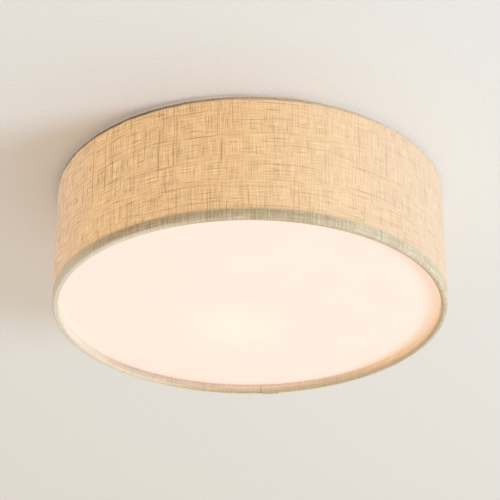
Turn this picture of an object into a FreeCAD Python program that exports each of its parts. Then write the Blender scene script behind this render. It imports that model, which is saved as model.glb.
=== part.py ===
"""Flush mount ceiling light: a linen drum shade with an opal diffuser, held under a pressed steel pan.

Units are millimetres. The origin is the centre of the ceiling plane, where the mounting strap is screwed on.
+Z points up, into the ceiling, and the whole light hangs below Z = 0. Lamp 1 lies on the -Y side and points
along +X. Lamp 2 is lamp 1 turned half a turn about Z.
"""

import FreeCAD
import Part

import math
import os

Vec = FreeCAD.Vector
ORIGIN = Vec(0, 0, 0)
X_AXIS = Vec(1, 0, 0)
Y_AXIS = Vec(0, 1, 0)
Z_AXIS = Vec(0, 0, 1)

# ---------------------------------------------------------------- shade
shade_d = 380.0
shade_h = 127.0
ceiling_gap = 3.0
fabric_t = 0.8
liner_t = 0.5
glue_gap = 0.1
upper_wire_d = 3.5
upper_tuck_deg = 50.0
lower_ring_w = 4.0
lower_ring_h = 6.5
lower_ring_round = 1.5
lower_ring_flats = 3
liner_end_gap = 0.4

# ---------------------------------------------------------------- diffuser
diffuser_t = 2.5
diffuser_round = 0.8
diffuser_side_gap = 1.0
seat_gap = 0.3

# ---------------------------------------------------------------- ceiling pan
pan_t = 0.9
pan_depth = 18.0
pan_panel_r = 123.0
pan_panel_drop = 3.0
pan_step_run = 3.0
pan_ledge_w = 16.0
pan_wall_run = 6.0
pan_flange_w = 7.0
pan_bend_r = 2.5

# ---------------------------------------------------------------- mounting strap and its screws
strap_l = 148.0
strap_w = 24.0
strap_t = 1.8
strap_joggle = 6.0
strap_joggle_run = 5.0
strap_end_l = 18.0
strap_hole_r = 5.1
slot_spacing = 64.0
slot_l = 22.0
slot_r = 2.6
strap_screw_d = 4.0
strap_screw_l = 24.0
strap_screw_inset = 11.0
screw_head_d = 7.6
screw_head_h = 2.4
head_crown_share = 0.45
head_slot_w_share = 0.22
head_slot_depth_share = 0.4
thread_gap = 0.05
pan_hole_gap = 0.4

# ---------------------------------------------------------------- knurled nuts that hold the pan up
pan_nut_d = 10.0
pan_nut_h = 6.0

# ---------------------------------------------------------------- studs, hangers and thumb nuts
hanger_count = 3
stud_d = 4.0
stud_l = 17.0
stud_head_d = 8.0
stud_head_h = 1.2
hanger_wire_d = 3.5
hanger_reach = 18.0
eyelet_t = 1.5
eyelet_w = 14.0
eyelet_l = 22.0
eyelet_gap = 0.3
eyelet_hole_gap = 0.7
hanger_weld = 0.7
hanger_arc_share = 0.35
hanger_pan_gap = 3.5
hanger_nut_gap = 3.5
fabric_notch_gap = 0.6
nut_d = 13.0
nut_h = 8.0
nut_collar_d = 9.0
nut_collar_h = 1.5
nut_bore_gap = 0.08
nut_seat_gap = 0.2
nut_flutes = 8
nut_flute_r = 1.1
nut_chamfer = 0.8

# ---------------------------------------------------------------- lamps, two side by side
lamp_y = 65.0
globe_x = 15.0
bulb_d = 60.0
bulb_l = 108.0
bulb_pan_gap = 9.0
globe_wall = 1.2
globe_below_centre = 12.0
body_neck_r = 14.0
body_mid_x = 50.0
body_mid_r = 18.6
body_plug_l = 7.0
cap_d = 26.3
cap_wall = 0.6
cap_end_x = 27.0
cap_start_x = 4.5
cap_round = 1.2
insulator_r = 11.0
contact_r = 4.6
contact_h = 1.5
contact_bulge_r = 3.2
contact_bulge_h = 0.25
led_board_r = 23.0
led_board_t = 1.6
led_board_gap = 0.2
led_count = 10
led_ring_r = 17.0
led_w = 3.0
led_h = 0.8
fit_gap = 0.15

# ---------------------------------------------------------------- lampholders
holder_mouth_x = 25.0
holder_floor_x = -3.0
holder_rear_x = -17.0
holder_r = 19.5
holder_rear_r = 16.5
holder_flare_x = 5.0
holder_round = 1.5
holder_shell_t = 0.5
shell_cap_gap = 0.5
shell_ceramic_gap = 0.2
shell_mouth_inset = 4.0
shell_lip_w = 4.0
leaf_w = 8.0
leaf_t = 0.5
leaf_half_l = 9.0
leaf_gap = 0.3
holder_screw_d = 3.0
holder_screw_l = 9.0
holder_screw_y = 11.0
holder_head_d = 5.6
holder_head_h = 2.0
terminal_x = -10.0
terminal_y = 6.0
terminal_hole_gap = 0.4
terminal_depth = 4.5
terminal_screw_d = 3.6
terminal_screw_l = 5.0

# ---------------------------------------------------------------- lampholder brackets
bracket_t = 1.2
bracket_w = 28.0
bracket_foot_l = 15.0
bracket_bend_r = 1.5
bracket_below_axis = 17.0
bracket_corner_r = 6.0
rivet_d = 3.2
rivet_head_d = 6.0
rivet_head_h = 1.1
rivet_y = 8.0
rivet_foot_share = 0.55
rivet_crown_share = 0.6

# ---------------------------------------------------------------- terminal block
block_pole_x = 7.5
block_pole_w = 9.0
block_l = 18.0
block_h = 14.0
block_web_h = 6.0
block_web_l = 10.0
block_round = 1.5
block_wire_drop = 7.0
insert_r = 2.7
insert_bore_r = 1.7
insert_l = 14.0
block_screw_d = 2.6
block_screw_y = 4.0
block_screw_recess = 0.8
block_fix_d = 3.0
block_fix_head_d = 5.4
block_fix_head_h = 1.6
block_fix_tip = 2.0
grub_slot_w = 0.6
grub_slot_depth = 0.7

# ---------------------------------------------------------------- leads and their clips
lead_d = 2.2
lead_pan_gap = 0.4
lead_in_block = 5.0
lead_out_run = 8.0
arc_share = 0.45
clip_t = 0.9
clip_l = 6.0
clip_foot = 4.0
clip_gap = 0.15
clip_share = 0.55

# ---------------------------------------------------------------- cable entry and earth terminal
entry_x = 36.0
entry_y = -24.0
entry_bore_r = 4.5
grommet_wall = 2.0
grommet_flange_w = 2.4
grommet_flange_h = 2.0
grommet_fit_gap = 0.1
grommet_round = 0.9
earth_screw_d = 4.0
earth_washer_d = 10.0
earth_washer_t = 1.0
earth_screw_l = 9.0

# ---------------------------------------------------------------- places worked out from the sizes
shade_r = shade_d / 2
shade_top = -ceiling_gap
shade_bottom = shade_top - shade_h
fabric_in_r = shade_r - fabric_t
liner_out_r = fabric_in_r - glue_gap
liner_in_r = liner_out_r - liner_t
upper_wire_r = upper_wire_d / 2
upper_ring_r = fabric_in_r - glue_gap - upper_wire_r
upper_ring_z = shade_top - fabric_t - glue_gap - upper_wire_r
roll_in = upper_wire_r + glue_gap
roll_out = roll_in + fabric_t

lower_out_r = liner_in_r - glue_gap
lower_in_r = lower_out_r - lower_ring_w
lower_bottom_z = shade_bottom + fabric_t + glue_gap
lower_top_z = lower_bottom_z + lower_ring_h
hem_in_r = lower_in_r - glue_gap - fabric_t
hem_top_z = lower_top_z + glue_gap + fabric_t

diffuser_r = liner_in_r - diffuser_side_gap
diffuser_z = hem_top_z + seat_gap

pan_under_z = -pan_depth
pan_floor_z = pan_under_z + pan_t
ledge_under_z = pan_under_z + pan_panel_drop
ledge_in_r = pan_panel_r + pan_step_run
ledge_out_r = ledge_in_r + pan_ledge_w
pan_wall_r = ledge_out_r + pan_wall_run
pan_flange_r = pan_wall_r + pan_flange_w

stud_circle_r = ledge_in_r + pan_ledge_w / 2
eyelet_top_z = ledge_under_z - eyelet_gap
eyelet_under_z = eyelet_top_z - eyelet_t
nut_top_z = eyelet_under_z - nut_seat_gap

strap_end_z = -strap_joggle
strap_screw_x = strap_l / 2 - strap_screw_inset

lamp_axis_z = pan_under_z - bulb_pan_gap - bulb_d / 2
globe_r = bulb_d / 2
globe_centre = bulb_l - globe_r
junction_x = globe_centre - globe_below_centre
junction_r = math.sqrt(globe_r**2 - globe_below_centre**2)
contact_world_x = globe_x - globe_centre
cap_r = cap_d / 2
shell_in_r = cap_r + shell_cap_gap
shell_out_r = shell_in_r + holder_shell_t
holder_bore_r = shell_out_r + shell_ceramic_gap
bracket_x = holder_rear_x - bracket_t

block_under_z = pan_under_z - block_h
block_wire_z = pan_under_z - block_wire_drop
lead_r = lead_d / 2
lead_run_z = pan_under_z - lead_pan_gap - lead_r


# ---------------------------------------------------------------- drawing helpers
def outline(start, *steps):
    """A closed face in the XZ plane. A step is (x, z) for a line or (mid_x, mid_z, x, z) for an arc."""
    here = Vec(start[0], 0, start[1])
    first = here
    edges = []
    for step in steps:
        there = Vec(step[-2], 0, step[-1])
        if len(step) == 4:
            edges.append(Part.Arc(here, Vec(step[0], 0, step[1]), there).toShape())
        else:
            edges.append(Part.LineSegment(here, there).toShape())
        here = there
    if (here - first).Length > 1e-6:
        edges.append(Part.LineSegment(here, first).toShape())
    return Part.Face(Part.Wire(edges))


def turned(start, *steps):
    """The outline turned once round the Z axis."""
    return outline(start, *steps).revolve(ORIGIN, Z_AXIS, 360)


def on_circle(centre_x, centre_z, radius, angle_deg):
    """The point of a circle in the XZ plane at an angle from +X towards +Z."""
    angle = math.radians(angle_deg)
    return (centre_x + radius * math.cos(angle), centre_z + radius * math.sin(angle))


def rod(radius, start, direction, length):
    return Part.makeCylinder(radius, length, start, direction)


def block(x0, x1, y0, y1, z0, z1):
    return Part.makeBox(x1 - x0, y1 - y0, z1 - z0, Vec(x0, y0, z0))


def slot(length, radius, x, y, z0, z1):
    """A round-ended slot along X, as a cutter from z0 up to z1."""
    half = length / 2 - radius
    body = block(x - half, x + half, y - radius, y + radius, z0, z1)
    for side in (-1, 1):
        body = body.fuse(rod(radius, Vec(x + side * half, y, z0), Z_AXIS, z1 - z0))
    return body.removeSplitter()


def rim_edges(shape):
    """The round edges of a turned shape, without its seams."""
    return [e for e in shape.Edges if isinstance(e.Curve, Part.Circle)]


def turn_z(shape, degrees):
    copy = shape.copy()
    copy.rotate(ORIGIN, Z_AXIS, degrees)
    return copy


def along_lamp(shape):
    """Puts a shape drawn along +Z from the lamp's contact onto the axis of lamp 1."""
    shape.rotate(ORIGIN, Y_AXIS, 90)
    shape.translate(Vec(contact_world_x, -lamp_y, lamp_axis_z))
    return shape


def in_lamp(x, y, z):
    """A point from lamp 1's own frame: x from its contact along the axis, y and z from the axis."""
    return Vec(contact_world_x + x, -lamp_y + y, lamp_axis_z + z)


def rounded_route(points, share):
    """Straight runs joined by tangent arcs, sized by their runs. Returns the wire, length and radii."""
    edges = []
    radii = []
    length = 0.0
    start = points[0]
    for i in range(1, len(points) - 1):
        back = points[i - 1] - points[i]
        ahead = points[i + 1] - points[i]
        run = share * min(back.Length, ahead.Length)
        back.normalize()
        ahead.normalize()
        turn = math.pi - back.getAngle(ahead)
        radius = run / math.tan(turn / 2)
        into = points[i] + back * run
        out = points[i] + ahead * run
        middle = back + ahead
        middle.normalize()
        to_arc = radius / math.cos(turn / 2) - radius
        edges.append(Part.LineSegment(start, into).toShape())
        edges.append(Part.Arc(into, points[i] + middle * to_arc, out).toShape())
        length += (into - start).Length + radius * turn
        radii.append(round(radius, 1))
        start = out
    edges.append(Part.LineSegment(start, points[-1]).toShape())
    length += (points[-1] - start).Length
    return Part.Wire(edges), length, radii


def tube(points, radius, share):
    """A round tube along the route. Prints its bend radii, and its volume beside section times length."""
    route, length, radii = rounded_route(points, share)
    heading = points[1] - points[0]
    section = Part.Wire(Part.makeCircle(radius, points[0], heading))
    body = route.makePipeShell([section], True, True)
    expected = math.pi * radius**2 * length
    print(f"tube: bend radii {radii}, volume {body.Volume:.1f}, section times length {expected:.1f}")
    return body


# ---------------------------------------------------------------- shade
def shade_fabric():
    """The linen skin, rolled over the upper wire and wrapped up and over the lower ring."""
    hook = 180 + upper_tuck_deg
    out_side = on_circle(upper_ring_r, upper_ring_z, roll_out, 0)
    over_out = on_circle(upper_ring_r, upper_ring_z, roll_out, hook / 2)
    end_out = on_circle(upper_ring_r, upper_ring_z, roll_out, hook)
    end_in = on_circle(upper_ring_r, upper_ring_z, roll_in, hook)
    over_in = on_circle(upper_ring_r, upper_ring_z, roll_in, hook / 2)
    in_side = on_circle(upper_ring_r, upper_ring_z, roll_in, 0)
    wrap = lower_ring_round + glue_gap
    fold = wrap + fabric_t
    fold_x = lower_in_r + lower_ring_round
    foot_z = lower_bottom_z + lower_ring_round
    head_z = lower_top_z - lower_ring_round
    skin = turned(
        out_side,
        (shade_r, foot_z),
        on_circle(shade_r - fold, foot_z, fold, -45) + (shade_r - fold, shade_bottom),
        (fold_x, shade_bottom),
        on_circle(fold_x, foot_z, fold, 225) + (hem_in_r, foot_z),
        (hem_in_r, head_z),
        on_circle(fold_x, head_z, fold, 135) + (fold_x, hem_top_z),
        (lower_out_r - lower_ring_round, hem_top_z),
        (lower_out_r - lower_ring_round, hem_top_z - fabric_t),
        (fold_x, hem_top_z - fabric_t),
        on_circle(fold_x, head_z, wrap, 135) + (fold_x - wrap, head_z),
        (fold_x - wrap, foot_z),
        on_circle(fold_x, foot_z, wrap, 225) + (fold_x, foot_z - wrap),
        (shade_r - fold, foot_z - wrap),
        on_circle(shade_r - fold, foot_z, wrap, -45) + (fabric_in_r, foot_z),
        in_side,
        over_in + end_in,
        end_out,
        over_out + out_side,
    )
    notch_w = hanger_wire_d + 2 * fabric_notch_gap
    for i in range(hanger_count):
        low = upper_ring_z - roll_out
        high = upper_ring_z + hanger_wire_d / 2 + fabric_notch_gap
        notch = block(upper_ring_r - roll_out - 1, upper_ring_r, -notch_w / 2, notch_w / 2, low, high)
        skin = skin.cut(turn_z(notch, 360 / hanger_count * i))
    return skin


def shade_liner():
    """The clear plastic sheet that the linen is laminated on."""
    top = upper_ring_z - upper_wire_r - liner_end_gap
    bottom = lower_bottom_z + lower_ring_round
    return turned((liner_out_r, bottom), (liner_out_r, top), (liner_in_r, top), (liner_in_r, bottom))


def lower_ring():
    """The flat steel ring in the hem, with corners eased by flats. The diffuser lies on its top edge."""
    radius = lower_ring_round
    inner = lower_in_r + radius
    outer = lower_out_r - radius
    low = lower_bottom_z + radius
    high = lower_top_z - radius
    corners = ((outer, low, -90), (outer, high, 0), (inner, high, 90), (inner, low, 180))
    points = []
    for centre_x, centre_z, first_deg in corners:
        for flat in range(lower_ring_flats + 1):
            points.append(on_circle(centre_x, centre_z, radius, first_deg + 90 * flat / lower_ring_flats))
    return turned(*points)


def upper_ring_frame():
    """The upper wire ring with its three bent arms and eyelets, welded as one piece."""
    frame = Part.makeTorus(upper_ring_r, upper_wire_r, Vec(0, 0, upper_ring_z))
    arm_z = eyelet_under_z - hanger_wire_d / 2 + hanger_weld
    bend_r = pan_flange_r + hanger_pan_gap
    for i in range(hanger_count):
        route = [
            Vec(upper_ring_r, 0, upper_ring_z),
            Vec(upper_ring_r - hanger_reach, 0, upper_ring_z),
            Vec(bend_r, 0, arm_z),
            Vec(stud_circle_r + nut_d / 2 + hanger_nut_gap, 0, arm_z),
        ]
        arm = tube(route, hanger_wire_d / 2, hanger_arc_share)
        centre = stud_circle_r + eyelet_l / 2 - eyelet_w / 2
        eyelet = slot(eyelet_l, eyelet_w / 2, centre, 0, eyelet_under_z, eyelet_top_z)
        hole_start = Vec(stud_circle_r, 0, eyelet_under_z - 1)
        hole = rod(stud_d / 2 + eyelet_hole_gap, hole_start, Z_AXIS, eyelet_t + 2)
        hanger = arm.fuse(eyelet).cut(hole)
        frame = frame.fuse(turn_z(hanger, 360 / hanger_count * i))
    return frame.removeSplitter()


def diffuser():
    """The opal acrylic disc that rests on the hem."""
    flat_r = diffuser_r - diffuser_round
    low = diffuser_z + diffuser_round
    high = diffuser_z + diffuser_t - diffuser_round
    return turned(
        (0, diffuser_z),
        (flat_r, diffuser_z),
        on_circle(flat_r, low, diffuser_round, -45) + (diffuser_r, low),
        (diffuser_r, high),
        on_circle(flat_r, high, diffuser_round, 45) + (flat_r, diffuser_z + diffuser_t),
        (0, diffuser_z + diffuser_t),
    )


# ---------------------------------------------------------------- ceiling pan and what fixes it
def ceiling_pan():
    """The pressed steel pan: a flange against the ceiling, a ledge for the studs and a lower panel."""
    slope = pan_t * 0.5
    pan = turned(
        (0, pan_under_z),
        (pan_panel_r, pan_under_z),
        (ledge_in_r, ledge_under_z),
        (ledge_out_r, ledge_under_z),
        (pan_wall_r, -pan_t),
        (pan_flange_r, -pan_t),
        (pan_flange_r, 0),
        (pan_wall_r - slope, 0),
        (ledge_out_r - slope, ledge_under_z + pan_t),
        (ledge_in_r - slope, ledge_under_z + pan_t),
        (pan_panel_r - slope, pan_floor_z),
        (0, pan_floor_z),
    )
    bends = [
        e
        for e in rim_edges(pan)
        if abs(e.Curve.Radius - pan_flange_r) > 1e-6 and e.Curve.Radius > ledge_out_r - pan_t
    ]
    pan = pan.makeFillet(pan_bend_r, bends)
    for x, y, radius in pan_holes():
        pan = pan.cut(rod(radius, Vec(x, y, pan_under_z - 1), Z_AXIS, pan_depth + 2))
    return pan


def pan_holes():
    """Every hole through the pan as (x, y, radius)."""
    holes = [(entry_x, entry_y, entry_bore_r + grommet_wall + grommet_fit_gap)]
    holes.append((-entry_x, -entry_y, earth_screw_d / 2 + thread_gap))
    for side in (-1, 1):
        holes.append((side * strap_screw_x, 0, strap_screw_d / 2 + pan_hole_gap))
        for across in (-1, 1):
            x, y = rivet_place(across)
            holes.append((side * x, side * y, rivet_d / 2 + thread_gap))
    holes.append((0, 0, block_fix_d / 2 + thread_gap))
    for i in range(hanger_count):
        angle = math.radians(360 / hanger_count * i)
        x = stud_circle_r * math.cos(angle)
        y = stud_circle_r * math.sin(angle)
        holes.append((x, y, stud_d / 2 + thread_gap))
    return holes


def mounting_strap():
    """The steel strap screwed to the ceiling. Its ends step down to leave room for screw heads."""
    flat = strap_l / 2 - strap_end_l - strap_joggle_run
    end = strap_l / 2
    low = flat + strap_joggle_run
    side = outline(
        (-end, strap_end_z),
        (-low, strap_end_z),
        (-flat, 0),
        (flat, 0),
        (low, strap_end_z),
        (end, strap_end_z),
        (end, strap_end_z - strap_t),
        (low - strap_t / 2, strap_end_z - strap_t),
        (flat - strap_t / 2, -strap_t),
        (-flat + strap_t / 2, -strap_t),
        (-low + strap_t / 2, strap_end_z - strap_t),
        (-end, strap_end_z - strap_t),
    )
    side.translate(Vec(0, -strap_w / 2, 0))
    strap = side.extrude(Vec(0, strap_w, 0))
    corners = [e for e in strap.Edges if abs(abs(e.CenterOfMass.x) - end) < 1e-6]
    strap = strap.makeFillet(strap_w / 4, [e for e in corners if abs(e.Length - strap_t) < 1e-6])
    low_z = strap_end_z - strap_t - 1
    strap = strap.cut(rod(strap_hole_r, Vec(0, 0, low_z), Z_AXIS, 20))
    for s in (-1, 1):
        strap = strap.cut(slot(slot_l, slot_r, s * slot_spacing / 2, 0, low_z, 1))
        hole = rod(strap_screw_d / 2 + thread_gap, Vec(s * strap_screw_x, 0, low_z), Z_AXIS, 20)
        strap = strap.cut(hole)
    return strap


def screw(radius, length, head_r, head_h, top):
    """A round-headed screw that hangs down from its head's underside at top, with a crosswise slot."""
    shank = rod(radius, top - Z_AXIS * length, Z_AXIS, length)
    head = rod(head_r, top, Z_AXIS, head_h)
    crown = [e for e in rim_edges(head) if e.CenterOfMass.z > top.z + head_h / 2]
    head = head.makeFillet(head_h * head_crown_share, crown)
    width = head_r * head_slot_w_share
    slot_floor = top.z + head_h * (1 - head_slot_depth_share)
    cut = block(top.x - head_r, top.x + head_r, top.y - width, top.y + width, slot_floor, top.z + head_h + 1)
    return shank.fuse(head).cut(cut)


def strap_screws():
    """Two machine screws that hang from the strap and carry the pan."""
    made = []
    for side in (-1, 1):
        top = Vec(side * strap_screw_x, 0, strap_end_z)
        made.append(screw(strap_screw_d / 2, strap_screw_l, screw_head_d / 2, screw_head_h, top))
    return Part.makeCompound(made)


def knurled_nut(radius, height, collar_r, collar_h, bore_r, top):
    """A fluted nut with a collar on its upper side."""
    body = rod(radius, top - Z_AXIS * (height + collar_h), Z_AXIS, height)
    body = body.makeChamfer(nut_chamfer, rim_edges(body))
    collar = rod(collar_r, top - Z_AXIS * collar_h, Z_AXIS, collar_h)
    nut = body.fuse(collar)
    for i in range(nut_flutes):
        angle = 2 * math.pi * i / nut_flutes
        place = top + Vec(radius * math.cos(angle), radius * math.sin(angle), -height - collar_h - 1)
        nut = nut.cut(rod(nut_flute_r, place, Z_AXIS, height + 1))
    return nut.cut(rod(bore_r, top - Z_AXIS * (height + collar_h + 1), Z_AXIS, height + collar_h + 2))


def pan_nuts():
    """The two nuts on the strap screws, tight against the pan."""
    made = []
    for side in (-1, 1):
        top = Vec(side * strap_screw_x, 0, pan_under_z)
        radius = pan_nut_d / 2
        bore = strap_screw_d / 2 + thread_gap
        made.append(knurled_nut(radius, pan_nut_h, radius - nut_chamfer, nut_chamfer, bore, top))
    return Part.makeCompound(made)


def shade_studs():
    """Three studs pressed into the pan's ledge, heads inside the pan."""
    made = []
    for i in range(hanger_count):
        place = Vec(stud_circle_r, 0, ledge_under_z + pan_t)
        stud = rod(stud_d / 2, place - Z_AXIS * (pan_t + stud_l), Z_AXIS, pan_t + stud_l)
        tip = [e for e in rim_edges(stud) if e.CenterOfMass.z < ledge_under_z - stud_l / 2]
        stud = stud.makeChamfer(stud_d / 8, tip)
        stud = stud.fuse(rod(stud_head_d / 2, place, Z_AXIS, stud_head_h))
        made.append(turn_z(stud, 360 / hanger_count * i))
    return Part.makeCompound(made)


def thumb_nut(i):
    nut = knurled_nut(
        nut_d / 2,
        nut_h,
        nut_collar_d / 2,
        nut_collar_h,
        stud_d / 2 + nut_bore_gap,
        Vec(stud_circle_r, 0, nut_top_z),
    )
    return turn_z(nut, 360 / hanger_count * i)


def cable_grommet():
    """The rubber grommet in the pan where the supply cable comes down."""
    neck = entry_bore_r + grommet_wall
    rim = neck + grommet_flange_w
    top = pan_floor_z + grommet_flange_h
    bottom = pan_under_z - grommet_flange_h
    grommet = turned(
        (entry_bore_r, bottom),
        (rim, bottom),
        (rim, pan_under_z),
        (neck, pan_under_z),
        (neck, pan_floor_z),
        (rim, pan_floor_z),
        (rim, top),
        (entry_bore_r, top),
    )
    outer = [e for e in rim_edges(grommet) if e.Curve.Radius > neck]
    lips = [e for e in outer if e.CenterOfMass.z > pan_floor_z or e.CenterOfMass.z < pan_under_z]
    lips = [e for e in lips if min(abs(e.CenterOfMass.z - top), abs(e.CenterOfMass.z - bottom)) < 1e-6]
    grommet = grommet.makeFillet(grommet_round, lips)
    grommet.translate(Vec(entry_x, entry_y, 0))
    return grommet


def earth_terminal():
    """The earth screw with its cup washer, up through the pan from below."""
    place = Vec(-entry_x, -entry_y, 0)
    washer = rod(earth_washer_d / 2, place + Z_AXIS * (pan_under_z - earth_washer_t), Z_AXIS, earth_washer_t)
    washer = washer.cut(rod(earth_screw_d / 2 + thread_gap, place - Z_AXIS * 40, Z_AXIS, 40))
    shaft = screw(earth_screw_d / 2, earth_screw_l, screw_head_d / 2, screw_head_h, ORIGIN)
    shaft.rotate(ORIGIN, X_AXIS, 180)
    shaft.translate(place + Z_AXIS * (pan_under_z - earth_washer_t))
    return Part.makeCompound([washer, shaft])


# ---------------------------------------------------------------- lampholders (drawn for lamp 1)
def lampholder():
    """The glazed ceramic body, with its bore, terminal holes and screw holes."""
    body = turned(
        (0, holder_rear_x),
        (holder_rear_r, holder_rear_x),
        (holder_rear_r, holder_floor_x),
        (holder_r, holder_flare_x),
        (holder_r, holder_mouth_x),
        (holder_bore_r, holder_mouth_x),
        (holder_bore_r, holder_floor_x),
        (0, holder_floor_x),
    )
    ends = []
    for e in rim_edges(body):
        at_end = min(abs(e.CenterOfMass.z - holder_mouth_x), abs(e.CenterOfMass.z - holder_rear_x)) < 1e-6
        if at_end and e.Curve.Radius > holder_bore_r:
            ends.append(e)
    body = along_lamp(body.makeFillet(holder_round, ends))
    for across in (-1, 1):
        hole_r = holder_screw_d / 2 + thread_gap
        depth = holder_screw_l - bracket_t + 0.5
        screw_hole = rod(hole_r, in_lamp(holder_rear_x - 1, across * holder_screw_y, 0), X_AXIS, depth + 1)
        wire_r = lead_r + terminal_hole_gap
        wire_start = in_lamp(terminal_x, across * terminal_y, terminal_floor() - 1)
        wire_hole = rod(wire_r, wire_start, Z_AXIS, holder_r)
        clamp_r = terminal_screw_d / 2 + thread_gap
        clamp_hole = rod(clamp_r, in_lamp(terminal_x, across * terminal_y, -holder_r), Z_AXIS, clamp_depth())
        body = body.cut(screw_hole).cut(wire_hole).cut(clamp_hole)
    return body


def terminal_floor():
    """How far above the lamp's axis a lead's end stands inside the ceramic."""
    return math.sqrt(holder_rear_r**2 - terminal_y**2) - terminal_depth


def clamp_depth():
    """How deep the clamp screw's hole goes, from the level of the ceramic's widest side."""
    return holder_r - terminal_floor() + terminal_screw_l


def lampholder_shell():
    """The pressed screw shell inside the ceramic."""
    mouth = holder_mouth_x - shell_mouth_inset
    floor = holder_floor_x + leaf_t * 2
    lip = shell_in_r - shell_lip_w
    shell = turned(
        (lip, floor),
        (shell_out_r, floor),
        (shell_out_r, mouth),
        (shell_in_r, mouth),
        (shell_in_r, floor + holder_shell_t),
        (lip, floor + holder_shell_t),
    )
    return along_lamp(shell)


def lampholder_contact():
    """The springy centre contact: a strip on the ceramic floor that rises to the bulb's contact."""
    base = holder_floor_x
    tip = -leaf_gap
    side = outline(
        (-leaf_half_l, base),
        (-leaf_half_l, base + leaf_t),
        (-contact_r, base + leaf_t),
        (-contact_r / 2, tip),
        (contact_r / 2, tip),
        (contact_r / 2, tip - leaf_t),
        (-contact_r / 2 + leaf_t / 2, tip - leaf_t),
        (-contact_r + leaf_t, base),
    )
    side.translate(Vec(0, -leaf_w / 2, 0))
    return along_lamp(side.extrude(Vec(0, leaf_w, 0)))


def lampholder_screw_pair():
    """Two screws through the bracket into the ceramic."""
    made = []
    for across in (-1, 1):
        one = screw(holder_screw_d / 2, holder_screw_l, holder_head_d / 2, holder_head_h, ORIGIN)
        one.rotate(ORIGIN, Y_AXIS, -90)
        one.translate(in_lamp(bracket_x, across * holder_screw_y, 0))
        made.append(one)
    return made


def lampholder_clamp_pair():
    """Two terminal screws in the underside of the ceramic."""
    made = []
    level = -math.sqrt(holder_rear_r**2 - (terminal_y + terminal_screw_d / 2) ** 2)
    for across in (-1, 1):
        start = in_lamp(terminal_x, across * terminal_y, level)
        made.append(rod(terminal_screw_d / 2, start, Z_AXIS, terminal_screw_l))
    return made


def rivet_place(across):
    """Where a bracket rivet of lamp 1 goes through the pan, as (x, y)."""
    foot_mid = contact_world_x + bracket_x - bracket_foot_l * rivet_foot_share
    return (foot_mid, -lamp_y + across * rivet_y)


def lampholder_bracket():
    """The bent steel bracket: foot riveted to the pan, leg down behind the ceramic."""
    leg_x = contact_world_x + holder_rear_x
    foot_x = leg_x - bracket_t - bracket_foot_l
    low_z = lamp_axis_z - bracket_below_axis
    side = outline(
        (foot_x, pan_under_z),
        (leg_x, pan_under_z),
        (leg_x, low_z),
        (leg_x - bracket_t, low_z),
        (leg_x - bracket_t, pan_under_z - bracket_t),
        (foot_x, pan_under_z - bracket_t),
    )
    side.translate(Vec(0, -lamp_y - bracket_w / 2, 0))
    bracket = side.extrude(Vec(0, bracket_w, 0))
    outer = edges_at(bracket, leg_x, pan_under_z)
    inner = edges_at(bracket, leg_x - bracket_t, pan_under_z - bracket_t)
    bracket = bracket.makeFillet(bracket_bend_r, outer + inner)
    tips = [e for e in bracket.Edges if abs(e.Length - bracket_t) < 1e-6]
    bracket = bracket.makeFillet(bracket_corner_r, tips)
    for across in (-1, 1):
        start = in_lamp(bracket_x - 1, across * holder_screw_y, 0)
        bracket = bracket.cut(rod(holder_screw_d / 2 + thread_gap, start, X_AXIS, bracket_t + 2))
        x, y = rivet_place(across)
        hole = rod(rivet_d / 2 + thread_gap, Vec(x, y, pan_under_z - bracket_t - 1), Z_AXIS, bracket_t + 2)
        bracket = bracket.cut(hole)
    return bracket


def edges_at(shape, x, z):
    """The edges along Y that stand at x and z."""
    found = []
    for e in shape.Edges:
        centre = e.CenterOfMass
        if abs(centre.x - x) < 1e-6 and abs(centre.z - z) < 1e-6:
            found.append(e)
    return found


def bracket_rivet_pair():
    """Two rivets that hold the bracket's foot to the pan."""
    made = []
    for across in (-1, 1):
        x, y = rivet_place(across)
        low = pan_under_z - bracket_t
        body = rod(rivet_d / 2, Vec(x, y, low), Z_AXIS, bracket_t + pan_t)
        for z, way in ((low, -1), (pan_floor_z, 1)):
            head = rod(rivet_head_d / 2, Vec(x, y, z), Z_AXIS * way, rivet_head_h)
            crown = [e for e in rim_edges(head) if abs(e.CenterOfMass.z - z) > rivet_head_h / 2]
            body = body.fuse(head.makeFillet(rivet_head_h * rivet_crown_share, crown))
        made.append(body)
    return made


# ---------------------------------------------------------------- bulbs (drawn for lamp 1)
def bulb_globe():
    """The opal dome, a shell open towards the bulb's body."""
    inner_r = globe_r - globe_wall
    inner_rim = math.sqrt(inner_r**2 - globe_below_centre**2)
    dome = turned(
        (junction_r, junction_x),
        on_circle(0, globe_centre, globe_r, 30) + (0, bulb_l),
        (0, bulb_l - globe_wall),
        on_circle(0, globe_centre, inner_r, 30) + (inner_rim, junction_x),
    )
    return along_lamp(dome)


def bulb_body():
    """The white plastic housing that flares from the cap to the dome."""
    plug_r = cap_r - cap_wall - fit_gap
    body = turned(
        (0, cap_end_x - body_plug_l),
        (plug_r, cap_end_x - body_plug_l),
        (plug_r, cap_end_x),
        (body_neck_r, cap_end_x),
        (body_mid_r, body_mid_x, junction_r, junction_x),
        (0, junction_x),
    )
    return along_lamp(body)


def bulb_cap():
    """The metal screw cap. Its thread is left plain, at the thread's full width."""
    inner = cap_r - cap_wall
    round_end = on_circle(cap_r - cap_round, cap_start_x + cap_round, cap_round, -45)
    cap = turned(
        (insulator_r, cap_start_x),
        (cap_r - cap_round, cap_start_x),
        round_end + (cap_r, cap_start_x + cap_round),
        (cap_r, cap_end_x - fit_gap),
        (inner, cap_end_x - fit_gap),
        (inner, cap_start_x + cap_wall),
        (insulator_r, cap_start_x + cap_wall),
    )
    return along_lamp(cap)


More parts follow.
